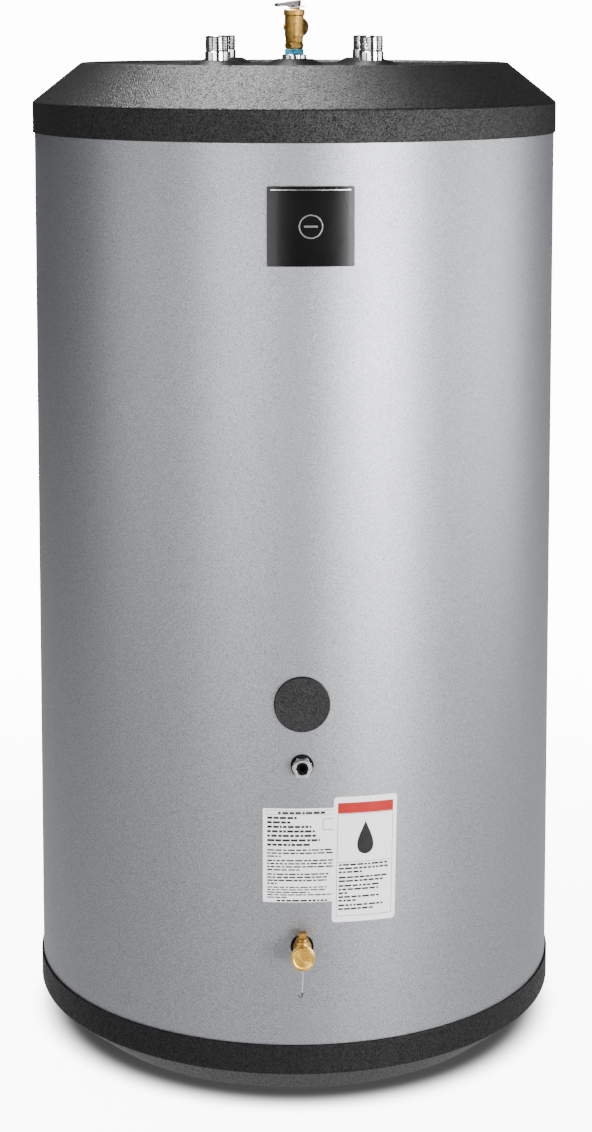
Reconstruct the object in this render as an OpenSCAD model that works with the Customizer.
// Tank water heater: an upright insulated stainless tank with a heat exchanger coil inside,
// a sheet-steel jacket, a moulded base pan and lid, four pipe nipples and a relief valve on top,
// and a thermostat pocket, cable gland and drain valve down the front.
// The frame is +Z up with its origin on the floor under the tank's axis; the front faces -Y.

/* [Overall] */
// Outer diameter of the painted steel jacket
jacket_d = 780; // [760:2:820]
// Height from the floor to the rim of the lid
total_h = 1453; // [1430:1:1560]
// Thickness of the jacket's sheet steel
jacket_t = 0.8; // [0.6:0.1:1.2]
// How far the base pan and lid stand proud of the jacket
cover_proud = 2.8; // [2:0.2:5]

/* [Base pan] */
// Height of the base pan's wall where it ends on the jacket
base_h = 91; // [80:1:110]
// Height of the crease between the base's bevel and its wall
base_crease_h = 49.5; // [40:0.5:60]
// Radius of the flat foot
foot_r = 331; // [300:1:345]
// Wall thickness of the base pan
base_t = 4; // [3:0.5:6]

/* [Lid] */
// Height of the lid from its lower edge to its rim
lid_h = 103; // [95:1:120]
// Height of the lid's upright skirt
lid_skirt_h = 45; // [35:1:55]
// Radius of the lid's flat top out to the rim
lid_top_r = 320; // [300:1:335]
// Depth of the sunk top inside the rim
lid_sink = 4; // [2:0.5:8]
// Wall thickness of the lid
lid_t = 3; // [2:0.5:5]
// Rounding of the moulded edges
edge_r = 5; // [2:0.5:8]

/* [Bosses on the lid] */
// Radius of each cone boss at its base
boss_base_r = 45.5; // [40:0.5:52]
// Radius of each cone boss at its top
boss_top_r = 28; // [24:0.5:32]
// Height of each boss above the sunk top
boss_h = 9; // [6:0.5:12]

/* [Tank] */
// Thickness of the foam between the tank and the jacket
foam_t = 51.2; // [50:0.1:55]
// Wall thickness of the stainless tank
tank_t = 2; // [1.5:0.1:3]
// Depth of each dished head
head_depth = 90; // [80:1:100]
// Height of the weld between the tank's shell and its bottom head
shell_bottom = 190; // [185:1:200]

/* [Pipe nipples] */
// Distance of each nipple from the middle, left and right
nipple_x = 110; // [90:1:130]
// Distance of each nipple from the middle, front and back
nipple_y = 182; // [160:1:200]
// Outer radius of the plain collar
collar_r = 17.5; // [17:0.1:17.8]
// Outer radius of the one inch pipe thread
thread_r = 16.7; // [16.5:0.1:16.8]
// Radius of the waterway
waterway_r = 12.5; // [11:0.1:13.5]
// Height of the nipples' tops above the lid's rim
nipple_rise = 40; // [36:1:50]
// Length of the pipe thread
thread_len = 22; // [20:1:25]

/* [Front fittings] */
// Turn of the column of front fittings to the right of the front
front_turn = 1.6; // [-5:0.1:5]
// Height of the access cap
cap_z = 579; // [570:1:590]
// Radius of the access cap
cap_r = 39; // [36:0.5:42]
// Height of the cable gland
gland_z = 492; // [488:1:494]
// Height of the drain valve
drain_z = 234; // [230:1:240]

/* [Plaque and labels] */
// Width of the plaque
badge_w = 119; // [100:1:140]
// Height of the plaque
badge_h = 108.5; // [90:0.5:120]
// Turn of the plaque to the right of the front
badge_turn = 3.3; // [-5:0.1:5]
// Width of the rating label
rating_w = 110; // [90:1:120]
// Height of the rating label
rating_h = 134; // [110:1:150]
// Width of the safety label
safety_w = 91; // [80:1:100]
// Height of the safety label
safety_h = 179; // [160:1:190]

/* [Relief valve] */
// Turn of the valve's outlet, from +X towards the back
relief_turn = 70; // [40:1:80]
// Radius of the brass body
relief_r = 14.5; // [14:0.1:15]
// Lift of the valve's disc with the lever fully raised
relief_lift = 2.6; // [2:0.1:2.8]

/* [Drain valve] */
// Outer radius of the three-quarter inch hose thread
hose_thread_r = 13.2; // [13.1:0.05:13.3]
// How far the hose cap's face stands out of the jacket
hose_cap_out = 47.5; // [47:0.5:52]

/* [Heat exchanger] */
// Radius of the coil, to the middle of its tube
coil_r = 165; // [150:1:168]
// Radius of the coil's tube
coil_tube_r = 14; // [11:0.5:14]
// Number of full turns, plus the part turn that lines the ends up
coil_turns = 9; // [6:1:11]

/* [Hidden] */
$fn = 96;
jacket_r = jacket_d / 2;
jacket_in_r = jacket_r - jacket_t;
cover_r = jacket_r + cover_proud;
cover_in_r = jacket_r + 0.3;
lid_bottom = total_h - lid_h;
lid_crease = lid_bottom + lid_skirt_h;
lid_floor = total_h - lid_sink;
boss_top = lid_floor + boss_h;
jacket_bottom = base_crease_h + 5.5;
jacket_top = lid_crease - 7;
tank_r = jacket_in_r - foam_t;
shell_top = lid_bottom - 40;
head_top = shell_top + head_depth;
support_out_r = 244;
support_in_r = 240;
support_top = 136;
nipple_top = total_h + nipple_rise;
thread_bottom = nipple_top - thread_len;
nipple_in = head_top - 60;
cold_in = [nipple_x, -nipple_y];
hot_out = [-nipple_x, -nipple_y];
boiler_in = [-nipple_x, nipple_y];
boiler_out = [nipple_x, nipple_y];
NIPPLES = [cold_in, hot_out, boiler_in, boiler_out];
badge_z = total_h - 215;
rating_z = 364;
safety_z = 355.5;
rating_turn = 1.7;
safety_turn = 14.6;
safety_lean = -1;

// The coil hangs from the two boiler nipples: down, round and back up in one length of tube
coil_top = 640;
coil_bottom = 262;
coil_lead = 35;
coil_steps = 24;
coil_from = atan2(boiler_in[1], boiler_in[0]) + coil_lead;
coil_to = atan2(boiler_out[1], boiler_out[0]) - coil_lead + 360 * (coil_turns + 1);
coil_fall = (coil_top - coil_bottom) / (coil_to - coil_from);

// Relief valve levels, counted up from the lid's rim
coupling_top = total_h + 11.5;
coupling_r = 18.5;
shank_r = 13.3;
hex_bottom = total_h + 19.5;
hex_top = total_h + 30;
relief_neck_top = total_h + 37.5;
seat_z = total_h + 41;
outlet_z = total_h + 52.5;
bonnet_bottom = total_h + 69.5;
bonnet_top = total_h + 79;
outlet_len = 24;
outlet_bore_r = 12.3;
chamber_r = 10.5;
seal_gap = 0.02;
stem_pin_r = 1;
stem_r = 2;
hinge = [-4.8, bonnet_top + 9.1];
stem_pin_z = bonnet_top + 5;
cheek_in = 5;
cheek_out = 6.2;
lever_tip = 28.4;
lever_heel = -8.9;
lever_heel_z = bonnet_top + 13.9;
lever_tip_z = bonnet_top + 8.6;
rivet_r = 1.8;
rivet_hole_r = rivet_r + 0.05;

// Control pocket, measured out from the jacket's surface
pocket_w = 130;
pocket_back = -47;
pocket_bottom = gland_z - 37;
pocket_top = cap_z + 66;
pocket_wall = 2;
cap_hole_r = 33;

// Cable gland, measured out from the jacket's surface
gland_across = 25;
gland_shank_r = 10.5;
gland_shank_in = -14;
gland_neck_r = 11;
gland_neck_out = 12.6;
gland_flange_in = 2;
gland_flange_out = 6.8;
cable_way_r = 6.5;
cable_seal_r = 8.6;
cable_r = 5;
cable_seal_in = 4;
cable_seal_out = 12.55;
screw_out = 45;
well_z = 514;
well_len = 140;
well_r = 8;

// Drain valve, measured out from the jacket's surface
drain_stem_out = 18;
drain_shank_r = 13.3;
spud_r = 16;
drain_plug_r = 7.5;
drain_stem_r = 3.5;
cord_r = 0.6;
cord_top = -19;
lanyard_out = 34.6;
// Route of the cap's lanyard: sideways, up from the drain's axis, and out from the jacket
LANYARD_ROUTE = [
    [0.0, -19.0, 34.6],
    [0.0, -21.0, 34.6],
    [0.1, -23.5, 34.6],
    [0.2, -26.0, 34.6],
    [0.3, -28.5, 34.6],
    [0.3, -31.0, 34.6],
    [0.3, -33.5, 34.6],
    [0.2, -36.0, 34.6],
    [0.0, -38.5, 34.6],
    [-0.2, -41.0, 34.6],
    [-0.4, -43.5, 34.6],
    [-0.6, -46.0, 34.6],
    [-0.7, -48.0, 34.6],
    [-0.8, -50.0, 34.6],
    [-0.8, -52.0, 34.6]
];
// Route of the sensor's capillary in the pocket: sideways, up from the well, and out from the jacket
CAPILLARY_ROUTE = [
    [0, 0, -92],
    [0, 0, -44],
    [0.5, 0.5, -40],
    [2, 2, -36.5],
    [5, 5, -34],
    [9, 9, -32.5],
    [12, 14, -31.5],
    [13, 20, -31],
    [13, 25, -31]
];

// ---- Shapes and functions that several pieces share ----

function unit(v) = v / norm(v);

// Points of the arc that rounds the corner b between a and c
function corner_arc(a, b, c, r, steps = 5) =
    let (
        to_a = unit(a - b),
        to_c = unit(c - b),
        half = acos(to_a * to_c) / 2,
        centre = b + unit(to_a + to_c) * r / sin(half),
        spoke = b + to_a * r / tan(half) - centre,
        side = sign(to_a[0] * to_c[1] - to_a[1] * to_c[0]),
        sweep = -side * (180 - 2 * half)
    )
    [for (i = [0 : steps])
        let (t = sweep * i / steps)
        centre + [spoke[0] * cos(t) - spoke[1] * sin(t), spoke[0] * sin(t) + spoke[1] * cos(t)]];

// An outline whose corners are rounded where their third value is above zero
function rounded(points) =
    let (n = len(points))
    [for (i = [0 : n - 1])
        let (
            a = points[(i + n - 1) % n],
            b = points[i],
            c = points[(i + 1) % n]
        )
        each (b[2] == 0 ? [[b[0], b[1]]]
            : corner_arc([a[0], a[1]], [b[0], b[1]], [c[0], c[1]], b[2]))];

function rectangle(w, h, r) = rounded([
    [-w / 2, -h / 2, r],
    [w / 2, -h / 2, r],
    [w / 2, h / 2, r],
    [-w / 2, h / 2, r]
]);

// Quarter ellipse from the axis out to the rim
function dish(r, depth, steps = 16) = [for (i = [0 : steps])
    let (t = 90 * i / steps)
    [r * sin(t), depth * cos(t)]];

function bezier(a, b, c, d, t) =
    a * pow(1 - t, 3) + b * 3 * t * pow(1 - t, 2) + c * 3 * t * t * (1 - t) + d * pow(t, 3);

function tangent(path, i) =
    unit(path[min(i + 1, len(path) - 1)] - path[max(i - 1, 0)]);

// A round tube swept along a path; sides gives a direction across the path at each point
module swept(path, r, sides, across) {
    rings = [for (i = [0 : len(path) - 1])
        let (
            t = tangent(path, i),
            b = unit(cross(t, across[i])),
            n = cross(b, t)
        )
        for (k = [0 : sides - 1])
            path[i] + r * (cos(360 * k / sides) * n + sin(360 * k / sides) * b)];
    last = (len(path) - 1) * sides;
    walls = [for (i = [0 : len(path) - 2], k = [0 : sides - 1])
        let (
            a = i * sides + k,
            b = i * sides + (k + 1) % sides
        )
        each [[a, a + sides, b + sides], [a, b + sides, b]]];
    caps = [
        [for (k = [0 : sides - 1]) k],
        [for (k = [sides - 1 : -1 : 0]) last + k]
    ];
    polyhedron(points = rings, faces = concat(walls, caps));
}

module rod(r, from, to) {
    translate([0, 0, from])
        cylinder(h = to - from, r = r);
}

module cone(r1, r2, from, to) {
    translate([0, 0, from])
        cylinder(h = to - from, r1 = r1, r2 = r2);
}

module pipe(r_out, r_in, from, to) {
    difference() {
        rod(r_out, from, to);
        rod(r_in, from - 1, to + 1);
    }
}

module hexagon(across_flats, from, to) {
    translate([0, 0, from])
        cylinder(h = to - from, r = across_flats / 2 / cos(30), $fn = 6);
}

module ring(mean_r, wire_r) {
    rotate_extrude()
        translate([mean_r, 0])
        circle(r = wire_r, $fn = 24);
}

// Puts +Z out of the jacket and +Y upright, with the origin on the jacket's surface
module on_front(height, turn) {
    translate([0, 0, height])
        rotate([0, 0, turn])
        rotate([90, 0, 0])
        translate([0, 0, jacket_r])
        children();
}

// A thin panel that follows the jacket from one height above its surface to another
module curved_panel(height, turn, lean, outline, from, to, reach) {
    intersection() {
        pipe(jacket_r + to, jacket_r + from, height - reach, height + reach);
        on_front(height, turn)
            rotate([0, 0, lean])
            translate([0, 0, -30])
            linear_extrude(height = 40)
            polygon(outline);
    }
}

module at_nipples(places = NIPPLES) {
    for (p = places)
        translate([p[0], p[1], 0])
            children();
}

module in_relief_frame() {
    rotate([0, 0, relief_turn])
        children();
}

// Puts +Z up the drain's stem, with the origin on the drain's axis
module on_drain_stem() {
    translate([0, 0, drain_stem_out])
        rotate([-90, 0, 0])
        children();
}

// ---- Base, tank and insulation ----

module base_pan() {
    color("#232325")
        rotate_extrude()
        polygon(rounded([
            [0, 0, 0],
            [foot_r, 0, edge_r],
            [cover_r, base_crease_h, edge_r],
            [cover_r, base_h, 0.8],
            [cover_in_r, base_h, 0],
            [cover_in_r, jacket_bottom, 0],
            [jacket_r - 3, jacket_bottom, 0],
            [jacket_r - 3, base_crease_h, 0],
            [foot_r - 1.5, base_t, 0],
            [0, base_t, 0]
        ]));
}

module head_solid() {
    rotate_extrude()
        polygon(concat([[0, 0]], dish(tank_r, head_depth)));
}

module head_shell() {
    inner = dish(tank_r - tank_t, head_depth - tank_t);
    rotate_extrude()
        polygon(concat(
            dish(tank_r, head_depth),
            [for (i = [len(inner) - 1 : -1 : 0]) inner[i]]
        ));
}

module support_ring() {
    color("#8d8f91")
        difference() {
            pipe(support_out_r, support_in_r, base_t, support_top);
            translate([0, 0, shell_bottom])
                mirror([0, 0, 1])
                head_solid();
        }
}

module tank_bottom_head() {
    color("#b9bbbd")
        translate([0, 0, shell_bottom])
        mirror([0, 0, 1])
        head_shell();
}

module tank_shell() {
    color("#b9bbbd")
        difference() {
            pipe(tank_r, tank_r - tank_t, shell_bottom, shell_top);
            on_front(drain_z, front_turn)
                rod(spud_r, -80, -20);
            on_front(well_z, front_turn)
                rod(well_r, -80, -20);
        }
}

module tank_top_head() {
    color("#b9bbbd")
        difference() {
            translate([0, 0, shell_top])
                head_shell();
            at_nipples()
                rod(collar_r, shell_top, head_top + 20);
            rod(coupling_r, shell_top, head_top + 20);
        }
}

module insulation_bottom() {
    color("#d8c88a")
        difference() {
            rotate_extrude()
                polygon([
                    [0, base_t],
                    [foot_r - 4, base_t],
                    [jacket_r - 4, base_crease_h + 2],
                    [jacket_r - 4, jacket_bottom],
                    [jacket_in_r, jacket_bottom],
                    [jacket_in_r, shell_bottom],
                    [0, shell_bottom]
                ]);
            translate([0, 0, shell_bottom])
                mirror([0, 0, 1])
                head_solid();
            pipe(support_out_r, support_in_r, base_t - 1, support_top);
        }
}

module insulation_side() {
    color("#d8c88a")
        difference() {
            pipe(jacket_in_r, tank_r, shell_bottom, shell_top);
            pocket_block();
            on_front(drain_z, front_turn)
                rod(spud_r, -80, 5);
            on_front(well_z, front_turn)
                rod(well_r, -80, -20);
        }
}

module insulation_top() {
    color("#d8c88a")
        difference() {
            rotate_extrude()
                polygon([
                    [0, shell_top],
                    [jacket_in_r, shell_top],
                    [jacket_in_r, lid_crease - 3],
                    [lid_top_r + 3, lid_floor - lid_t],
                    [0, lid_floor - lid_t]
                ]);
            translate([0, 0, shell_top])
                head_solid();
            at_nipples()
                rod(collar_r, shell_top, total_h);
            rod(coupling_r, shell_top, total_h);
        }
}

// ---- Jacket and lid ----

module jacket() {
    seam_w = 30;
    color("#b4b5ba")
        difference() {
            union() {
                pipe(jacket_r, jacket_in_r, jacket_bottom, jacket_top);
                intersection() {
                    pipe(jacket_r + jacket_t, jacket_r - jacket_t / 2, base_h + 4, lid_bottom - 4);
                    translate([-seam_w / 2, jacket_r - 10, base_h])
                        cube([seam_w, 20, lid_bottom - base_h]);
                }
            }
            on_front(cap_z, front_turn)
                rod(cap_hole_r, -10, 5);
            on_front(gland_z, front_turn)
                rod(13.5, -10, 5);
            on_front(drain_z, front_turn)
                rod(15, -10, 5);
        }
}

module seam_rivets() {
    count = 10;
    span = lid_bottom - base_h - 100;
    color("#9b9da0")
        for (i = [0 : count - 1])
            translate([0, jacket_r + jacket_t, base_h + 50 + span * i / (count - 1)])
                rotate([-90, 0, 0])
                intersection() {
                    translate([0, 0, -3.2])
                        sphere(r = 4.6);
                    rod(4, 0, 3);
                }
}

module boss() {
    cone(boss_base_r, boss_top_r, lid_floor, boss_top);
}

module top_lid() {
    color("#232325")
        difference() {
            union() {
                rotate_extrude()
                    polygon(rounded([
                        [cover_in_r, lid_bottom, 0],
                        [cover_r, lid_bottom, 0.8],
                        [cover_r, lid_crease, edge_r],
                        [lid_top_r, total_h, edge_r],
                        [lid_top_r - 8, total_h, 1.5],
                        [lid_top_r - 12, lid_floor, 1.5],
                        [0, lid_floor, 0],
                        [0, lid_floor - lid_t, 0],
                        [lid_top_r + 4, lid_floor - lid_t, 0],
                        [cover_in_r, lid_crease - 2, 0]
                    ]));
                boss();
                at_nipples()
                    boss();
            }
            at_nipples()
                rod(collar_r + 0.3, lid_floor - 10, boss_top + 1);
            rod(coupling_r + 0.3, lid_floor - 10, boss_top + 1);
        }
}

// ---- Pipe nipples, dip tube and coil ----

module nipple(place) {
    color("#c9cacc")
        translate([place[0], place[1], 0])
        difference() {
            union() {
                rod(collar_r, nipple_in, thread_bottom);
                rod(thread_r, thread_bottom - 1, nipple_top);
            }
            rod(waterway_r, nipple_in - 1, nipple_top + 1);
        }
}

module hot_outlet_nipple() {
    nipple(hot_out);
}

module cold_inlet_nipple() {
    nipple(cold_in);
}

module boiler_supply_nipple() {
    nipple(boiler_in);
}

module boiler_return_nipple() {
    nipple(boiler_out);
}

module cold_dip_tube() {
    color("#b9bbbd")
        translate([cold_in[0], cold_in[1], 0])
        pipe(14.5, waterway_r, 200, nipple_in);
}

function on_coil(angle) = [
    coil_r * cos(angle),
    coil_r * sin(angle),
    coil_top - coil_fall * (angle - coil_from)
];

function coil_heading(angle) = unit([
    -coil_r * sin(angle),
    coil_r * cos(angle),
    -coil_fall * 180 / PI
]);

function coil_path() =
    let (
        turn_count = ceil((coil_to - coil_from) / 360 * coil_steps),
        down = [boiler_in[0], boiler_in[1], coil_top + 110],
        up = [boiler_out[0], boiler_out[1], coil_bottom + 110],
        first = on_coil(coil_from),
        last = on_coil(coil_to),
        pull = 75
    )
    concat(
        [[boiler_in[0], boiler_in[1], nipple_in]],
        [for (i = [0 : 9])
            bezier(down, down - [0, 0, pull], first - pull * coil_heading(coil_from), first, i / 10)],
        [for (i = [0 : turn_count])
            on_coil(coil_from + (coil_to - coil_from) * i / turn_count)],
        [for (i = [1 : 10])
            bezier(last, last + pull * coil_heading(coil_to), up - [0, 0, pull], up, i / 10)],
        [[boiler_out[0], boiler_out[1], nipple_in]]
    );

module heat_exchanger_coil() {
    path = coil_path();
    color("#b87345")
        swept(path, coil_tube_r, 8, [for (p = path) unit([p[0], p[1], 0])]);
}

// ---- Relief valve ----

module relief_coupling() {
    color("#c9cacc")
        difference() {
            rod(coupling_r, head_top - 12, coupling_top);
            rod(shank_r, head_top - 13, coupling_top + 1);
        }
}

module relief_tape() {
    color("#6cc6ee")
        pipe(relief_r, shank_r, coupling_top + 0.1, hex_bottom - 0.1);
}

module relief_body() {
    color("#c69a57")
        in_relief_frame()
        difference() {
            union() {
                rod(shank_r, total_h - 3, hex_bottom);
                intersection() {
                    hexagon(25.4, hex_bottom, hex_top);
                    rod(relief_r, hex_bottom, hex_top);
                }
                rod(13.5, hex_top, relief_neck_top);
                rod(relief_r, relief_neck_top, bonnet_bottom);
                translate([0, 0, outlet_z])
                    rotate([0, 90, 0])
                    rod(15.2, 0, outlet_len);
                translate([0, 0, outlet_z])
                    rotate([0, 90, 180 - relief_turn])
                    rod(4.5, 10, 16.6);
            }
            rod(7, total_h - 4, seat_z + 1);
            rod(chamber_r, seat_z, bonnet_bottom + 1);
            translate([0, 0, outlet_z])
                rotate([0, 90, 0])
                rod(9, 0, outlet_len);
            translate([0, 0, outlet_z])
                rotate([0, 90, 0])
                rod(outlet_bore_r, 12, outlet_len + 1);
        }
}

module relief_probe() {
    fin_t = 1.2;
    fin_top = total_h + 8;
    color("#b87345")
        in_relief_frame()
        union() {
            rod(4.5, total_h - 120, fin_top);
            intersection() {
                rod(7, total_h - 2, fin_top);
                for (k = [0 : 2])
                    rotate([0, 0, 120 * k])
                        translate([0, -fin_t / 2, 0])
                        cube([8, fin_t, total_h + 20]);
            }
        }
}

module relief_stem() {
    color("#b9bbbd")
        in_relief_frame()
        difference() {
            union() {
                rod(9, seat_z + 2, seat_z + 4.5);
                rod(stem_r, seat_z + 4, bonnet_top + 7.5);
            }
            translate([0, 0, stem_pin_z])
                rotate([0, 90, 0])
                rod(stem_pin_r + 0.02, -stem_r - 1, stem_r + 1);
        }
}

module relief_seat_seal() {
    color("#1d1d1d")
        rod(8.8, seat_z + seal_gap, seat_z + 2);
}

module relief_spring() {
    turns = 5;
    wire_r = 0.9;
    from = seat_z + 5.6;
    to = bonnet_bottom - 6.6;
    steps = 14;
    path = [for (i = [0 : turns * steps])
        let (t = 360 * i / steps)
        [6 * cos(t), 6 * sin(t), from + (to - from) * i / (turns * steps)]];
    color("#9a9ca0")
        swept(path, wire_r, 8, [for (p = path) unit([p[0], p[1], 0])]);
}

module relief_ear(side) {
    ear_r = 2.7;
    translate([side * 3.95, 0, 0])
        rotate([90, 0, 90])
        translate([0, 0, -0.75])
        linear_extrude(height = 1.5)
        difference() {
            union() {
                translate(hinge)
                    circle(r = ear_r);
                translate([hinge[0] - ear_r, bonnet_top - 0.5])
                    square([2 * ear_r, hinge[1] - bonnet_top + 0.5]);
            }
            translate(hinge)
                circle(r = rivet_hole_r);
        }
}

module relief_bonnet() {
    color("#c69a57")
        in_relief_frame()
        difference() {
            union() {
                rotate_extrude()
                    polygon([
                        [0, bonnet_bottom - 5],
                        [chamber_r, bonnet_bottom - 5],
                        [chamber_r, bonnet_bottom],
                        [15, bonnet_bottom],
                        [16, bonnet_bottom + 1],
                        [16, bonnet_top - 1.5],
                        [14.5, bonnet_top],
                        [0, bonnet_top]
                    ]);
                relief_ear(-1);
                relief_ear(1);
            }
            rod(stem_r + 0.05, bonnet_bottom - 6, bonnet_top + 1);
        }
}

module lever_cheek(side) {
    slot_r = 1.35;
    translate([side * (cheek_in + cheek_out) / 2, 0, 0])
        rotate([90, 0, 90])
        translate([0, 0, -(cheek_out - cheek_in) / 2])
        linear_extrude(height = cheek_out - cheek_in)
        difference() {
            polygon([
                [lever_tip, lever_tip_z - 3.6],
                [lever_tip, lever_tip_z],
                [lever_heel, lever_heel_z],
                [lever_heel, lever_heel_z - 7.4],
                [-6, bonnet_top + 3.4],
                [-2, bonnet_top + 1.8],
                [5, bonnet_top + 2],
                [9.5, bonnet_top + 4.6]
            ]);
            translate(hinge)
                circle(r = rivet_hole_r);
            for (y = [-2.8, 0.3])
                translate([y, stem_pin_z])
                    circle(r = slot_r);
            translate([-2.8, stem_pin_z - slot_r])
                square([3.1, 2 * slot_r]);
        }
}

module lever_web() {
    web_t = 1.2;
    translate([-cheek_in - 0.1, 0, 0])
        rotate([90, 0, 90])
        linear_extrude(height = 2 * cheek_in + 0.2)
        polygon([
            [lever_tip, lever_tip_z],
            [lever_heel, lever_heel_z],
            [lever_heel, lever_heel_z - web_t],
            [lever_tip, lever_tip_z - web_t]
        ]);
}

module relief_lever() {
    color("#a9abae")
        in_relief_frame()
        union() {
            lever_web();
            lever_cheek(-1);
            lever_cheek(1);
        }
}

module relief_lever_tip() {
    color("#151515")
        in_relief_frame()
        difference() {
            translate([-cheek_out - 0.6, 0, 0])
                rotate([90, 0, 90])
                linear_extrude(height = 2 * cheek_out + 1.2)
                polygon([
                    [lever_tip + 0.6, lever_tip_z - 4.2],
                    [lever_tip + 0.6, lever_tip_z + 0.5],
                    [lever_tip - 3.8, lever_tip_z + 1.2],
                    [lever_tip - 3.8, lever_tip_z - 4.5]
                ]);
            lever_web();
            lever_cheek(-1);
            lever_cheek(1);
        }
}

module lever_rivet() {
    head_out = cheek_out + 0.6;
    color("#b9bbbd")
        in_relief_frame()
        translate([0, hinge[0], hinge[1]])
        rotate([0, 90, 0])
        difference() {
            union() {
                rod(rivet_r, -head_out, head_out);
                rod(2.4, cheek_out + 0.05, head_out);
                rod(2.4, -head_out, -cheek_out - 0.05);
            }
            rod(1.3, -head_out - 1, head_out + 1);
        }
}

module stem_pin() {
    color("#151515")
        in_relief_frame()
        translate([0, 0, stem_pin_z])
        rotate([0, 90, 0])
        rod(stem_pin_r, -cheek_out - 0.6, cheek_out + 0.6);
}

// A closed wire loop that lies round the lever, its far end tilted up over the bonnet's edge
module tag_tie() {
    loop_r = 7.6;
    wire_r = 0.55;
    straight = 9.5;
    tilt = 9.5;
    lift = wire_r + 0.1 + loop_r * sin(tilt);
    color("#dfe3e6")
        in_relief_frame()
        translate([0, 0, bonnet_top + lift])
        rotate([tilt, 0, 180])
        union() {
            for (end = [0, 1])
                translate([0, end * straight, 0])
                    rotate([0, 0, end * 180 + 180])
                    rotate_extrude(angle = 180)
                    translate([loop_r, 0])
                    circle(r = wire_r, $fn = 24);
            for (side = [-1, 1])
                translate([side * loop_r, 0, 0])
                    rotate([-90, 0, 0])
                    cylinder(h = straight, r = wire_r, $fn = 24);
        }
}

// ---- Control pocket, thermostat and sensor ----

// The block of space that the pocket takes up in the foam
module pocket_block() {
    height = pocket_top - pocket_bottom;
    on_front((pocket_top + pocket_bottom) / 2, front_turn)
        translate([-pocket_w / 2, -height / 2, pocket_back])
        cube([pocket_w, height, 60]);
}

module control_pocket() {
    height = pocket_top - pocket_bottom;
    inner_w = pocket_w - 2 * pocket_wall;
    inner_h = height - 2 * pocket_wall;
    color("#3a3a3c")
        difference() {
            intersection() {
                pocket_block();
                rod(jacket_in_r, pocket_bottom - 5, pocket_top + 5);
            }
            on_front((pocket_top + pocket_bottom) / 2, front_turn)
                translate([-inner_w / 2, -inner_h / 2, pocket_back + pocket_wall])
                cube([inner_w, inner_h, 60]);
            on_front(well_z, front_turn)
                rod(well_r, pocket_back - 5, pocket_back + 5);
        }
}

module thermostat_body() {
    back = pocket_back + pocket_wall;
    color("#e4e2da")
        on_front(cap_z, front_turn)
        difference() {
            union() {
                translate([-28, -40, back])
                    cube([56, 80, 25]);
                for (side = [-1, 1])
                    translate([-8, side * 44 - 5, back])
                        cube([16, 10, 3]);
                rod(10, -20.5, -18);
            }
            rod(3.05, -32, -17);
            for (side = [-1, 1])
                translate([0, side * screw_out, 0])
                    rod(2, back - 1, back + 4);
        }
}

module thermostat_dial() {
    color("#f2f0ea")
        on_front(cap_z, front_turn)
        difference() {
            union() {
                rod(3, -30, -17);
                rod(22, -17.7, -14.7);
                intersection() {
                    rod(14, -15, -8);
                    translate([-4, -14, -15])
                        cube([8, 28, 7]);
                }
            }
            translate([-0.75, 9, -8.8])
                cube([1.5, 6, 2]);
        }
}

module thermostat_screws() {
    back = pocket_back + pocket_wall;
    color("#c9cacc")
        on_front(cap_z, front_turn)
        for (side = [-1, 1])
            translate([0, side * screw_out, 0])
                difference() {
                    union() {
                        rod(2, back + 0.02, back + 3.1);
                        rod(3.6, back + 3.05, back + 5.4);
                    }
                    translate([-4, -0.5, back + 4.4])
                        cube([8, 1, 2]);
                }
}

module thermowell() {
    mouth = pocket_back + pocket_wall;
    color("#b9bbbd")
        on_front(well_z, front_turn)
        difference() {
            union() {
                rod(well_r, pocket_back - 5 - well_len, mouth);
                rod(11, mouth, mouth + 2);
            }
            rod(4.5, pocket_back - well_len, mouth + 3);
        }
}

module sensor_bulb() {
    color("#b87345")
        on_front(well_z, front_turn)
        rod(3.2, -180, -92);
}

module sensor_capillary() {
    color("#b87345")
        on_front(well_z, front_turn)
        swept(CAPILLARY_ROUTE, 1.2, 8, [for (p = CAPILLARY_ROUTE) [1, -1, 0]]);
}

module access_cap() {
    plug_r = cap_hole_r - 0.4;
    color("#1b1b1c")
        on_front(cap_z, front_turn)
        difference() {
            union() {
                rod(cap_r, -3, 3);
                rotate_extrude()
                    polygon(rounded([
                        [0, 2.5, 0],
                        [cap_r, 2.5, 0],
                        [cap_r, 5, 2],
                        [0, 5, 0]
                    ]));
                rod(plug_r, -6.5, 2);
            }
            difference() {
                translate([0, 0, -jacket_r])
                    rotate([90, 45, 0])
                    cylinder(h = 120, r = jacket_r + 0.2, center = true, $fn = 360);
                rod(plug_r, -20, 20);
            }
            rod(plug_r - 2, -7, 0.6);
        }
}

// ---- Cable gland ----

module gland_grommet() {
    color("#17171a")
        on_front(gland_z, front_turn)
        union() {
            pipe(16, gland_shank_r + 0.05, 0, gland_flange_in);
            pipe(13.4, gland_shank_r + 0.05, -2.5, 0.5);
        }
}

module gland_body() {
    color("#a7a9ac")
        on_front(gland_z, front_turn)
        difference() {
            union() {
                rod(gland_shank_r, gland_shank_in, gland_flange_in);
                hexagon(gland_across, gland_flange_in, gland_flange_out);
                rod(gland_neck_r, gland_flange_out, gland_neck_out);
            }
            rod(cable_way_r, gland_shank_in - 1, gland_neck_out);
            rod(cable_seal_r, cable_seal_in, gland_neck_out + 1);
        }
}

module gland_locknut() {
    color("#a7a9ac")
        on_front(gland_z, front_turn)
        difference() {
            hexagon(28, -6.6, -2.6);
            rod(gland_shank_r, -8, 0);
        }
}

module gland_seal() {
    color("#101011")
        on_front(gland_z, front_turn)
        pipe(cable_seal_r, cable_r, cable_seal_in, cable_seal_out);
}

module gland_washer() {
    color("#101011")
        on_front(gland_z, front_turn)
        pipe(10.8, 6.5, 12.65, 13.4);
}

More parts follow.
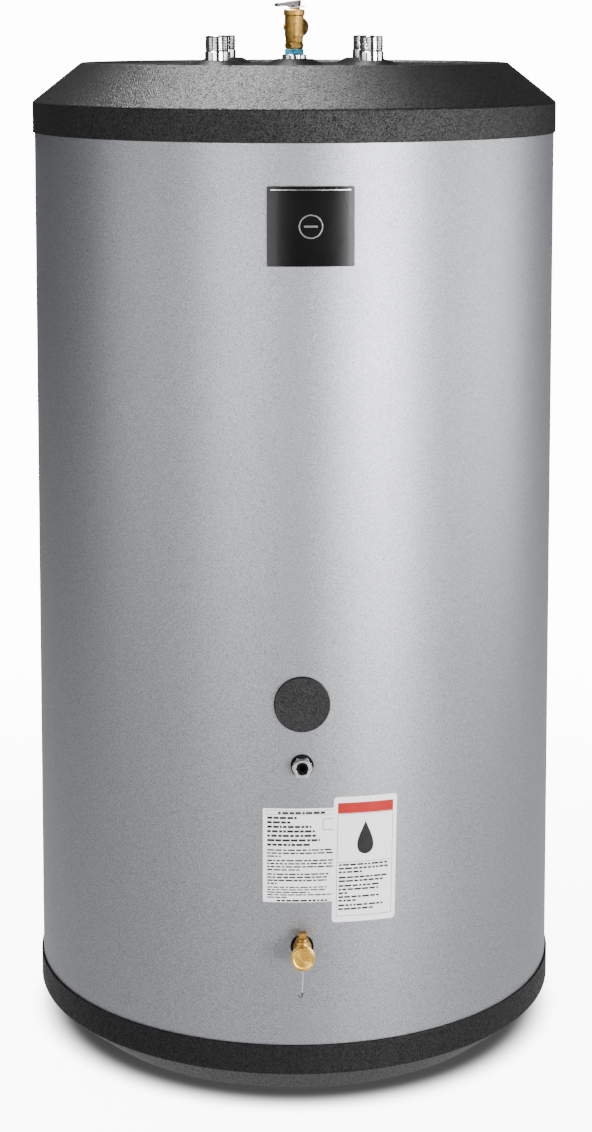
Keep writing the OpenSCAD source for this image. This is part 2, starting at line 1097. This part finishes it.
module gland_nut() {
    color("#b4b6b9")
        on_front(gland_z, front_turn)
        difference() {
            intersection() {
                hexagon(gland_across, gland_flange_out + 0.2, 15);
                cone(17, 13.4, 7, 15.1);
            }
            rod(gland_neck_r + 0.05, 6, 13.45);
            rod(8.5, 6, 16);
        }
}

// ---- Drain valve ----

module drain_spud() {
    color("#b9bbbd")
        on_front(drain_z, front_turn)
        difference() {
            rod(spud_r, -foam_t - 12, -12);
            rod(10, -foam_t - 13, -33);
            rod(drain_shank_r, -34, -11);
        }
}

module drain_grommet() {
    color("#17171a")
        on_front(drain_z, front_turn)
        union() {
            pipe(16, drain_shank_r + 0.05, 0, 2.2);
            pipe(14.9, drain_shank_r + 0.05, -2.5, 0.5);
        }
}

module drain_body() {
    color("#c69a57")
        on_front(drain_z, front_turn)
        difference() {
            union() {
                rod(drain_shank_r, -34, 2.4);
                cone(drain_shank_r, 12.6, 2.4, 6);
                rod(12.6, 6, 32.6);
                rod(12.2, 32.5, 36.2);
                rod(hose_thread_r, 36.2, 43);
                on_drain_stem()
                    cone(12.2, 9.4, 0, 15);
            }
            rod(6, -35, 44);
            on_drain_stem()
                rod(drain_plug_r + 0.05, -8.05, 16);
        }
}

module drain_plug() {
    color("#c69a57")
        on_front(drain_z, front_turn)
        difference() {
            on_drain_stem()
                union() {
                    rod(drain_plug_r, -8, 8);
                    rod(drain_stem_r, 7.9, 27);
                }
            translate([0, 0, drain_stem_out])
                rotate([0, 90, 0])
                rod(5, -10, 10);
            on_drain_stem()
                translate([-6, -1, 24])
                cube([12, 2, 4]);
        }
}

module drain_turn_head() {
    color("#c69a57")
        on_front(drain_z, front_turn)
        on_drain_stem()
        difference() {
            translate([-5.35, -5.35, 19.4])
                cube([10.7, 10.7, 7.6]);
            rod(drain_stem_r, 19, 28);
            translate([-6, -1, 24])
                cube([12, 2, 4]);
        }
}

module drain_packing_nut() {
    color("#bd9150")
        on_front(drain_z, front_turn)
        on_drain_stem()
        difference() {
            union() {
                rod(drain_plug_r, 8.4, 15);
                intersection() {
                    hexagon(15.6, 15, 19);
                    cone(9, 7.8, 15, 19);
                }
            }
            rod(drain_stem_r + 0.05, 8, 20);
        }
}

module drain_cap() {
    face_in = hose_cap_out - 2;
    color("#cfa45e")
        on_front(drain_z, front_turn)
        difference() {
            rotate_extrude()
                polygon([
                    [0, 36.6],
                    [15.8, 36.6],
                    [16.3, 37.1],
                    [16.3, 38.9],
                    [15.3, 39.4],
                    [15.3, 44],
                    [16.1, 44.4],
                    [16.1, hose_cap_out - 0.6],
                    [15.5, hose_cap_out],
                    [0, hose_cap_out]
                ]);
            rod(hose_thread_r + 0.05, 36, face_in);
        }
}

module drain_cap_gasket() {
    color("#101011")
        on_front(drain_z, front_turn)
        pipe(12.8, 7, 43.05, hose_cap_out - 2.05);
}

module lanyard_ring() {
    ring_r = 13.9;
    sag = -0.9;
    color("#c9cacc")
        on_front(drain_z, front_turn)
        union() {
            translate([0, sag, lanyard_out])
                ring(ring_r, cord_r);
            translate([0, 0, lanyard_out])
                rotate([90, 0, 0])
                rod(1.1, ring_r - sag, -cord_top);
        }
}

module lanyard() {
    color("#e6e8ea")
        on_front(drain_z, front_turn)
        swept(LANYARD_ROUTE, cord_r, 8, [for (p = LANYARD_ROUTE) [1, 0, 0]]);
}

module lanyard_hook() {
    end = LANYARD_ROUTE[len(LANYARD_ROUTE) - 1];
    hook_r = 2.6;
    color("#2a2b2d")
        on_front(drain_z, front_turn)
        translate(end)
        union() {
            rotate([90, 0, 0])
                rod(1.1, 0, 4);
            translate([-hook_r, -4, 0])
                rotate([0, 0, 180])
                rotate_extrude(angle = 215)
                translate([hook_r, 0])
                circle(r = 0.65, $fn = 24);
        }
}

// ---- Plaque and labels ----

module badge_plate() {
    color("#0c0c0d")
        curved_panel(badge_z, badge_turn, 0, rectangle(badge_w, badge_h, 2), 0, 3, badge_h);
}

module rating_panel() {
    curved_panel(rating_z, rating_turn, 0, rectangle(rating_w, rating_h, 1.5), 0, 0.2, rating_h);
}

module rating_label() {
    color("#eceded")
        rating_panel();
}

module safety_label() {
    color("#f3f3f2")
        difference() {
            curved_panel(
                safety_z, safety_turn, safety_lean, rectangle(safety_w, safety_h, 5),
                0, 0.4, safety_h
            );
            rating_panel();
        }
}

base_pan();
support_ring();
tank_bottom_head();
tank_shell();
tank_top_head();
insulation_bottom();
insulation_side();
insulation_top();
jacket();
seam_rivets();
top_lid();
hot_outlet_nipple();
cold_inlet_nipple();
boiler_supply_nipple();
boiler_return_nipple();
cold_dip_tube();
heat_exchanger_coil();
relief_coupling();
relief_tape();
relief_body();
relief_probe();
relief_stem();
relief_seat_seal();
relief_spring();
relief_bonnet();
relief_lever();
relief_lever_tip();
lever_rivet();
stem_pin();
tag_tie();
control_pocket();
thermostat_body();
thermostat_dial();
thermostat_screws();
thermowell();
sensor_bulb();
sensor_capillary();
access_cap();
gland_grommet();
gland_body();
gland_locknut();
gland_seal();
gland_washer();
gland_nut();
drain_spud();
drain_grommet();
drain_body();
drain_plug();
drain_turn_head();
drain_packing_nut();
drain_cap();
drain_cap_gasket();
lanyard_ring();
lanyard();
lanyard_hook();
badge_plate();
rating_label();
safety_label();
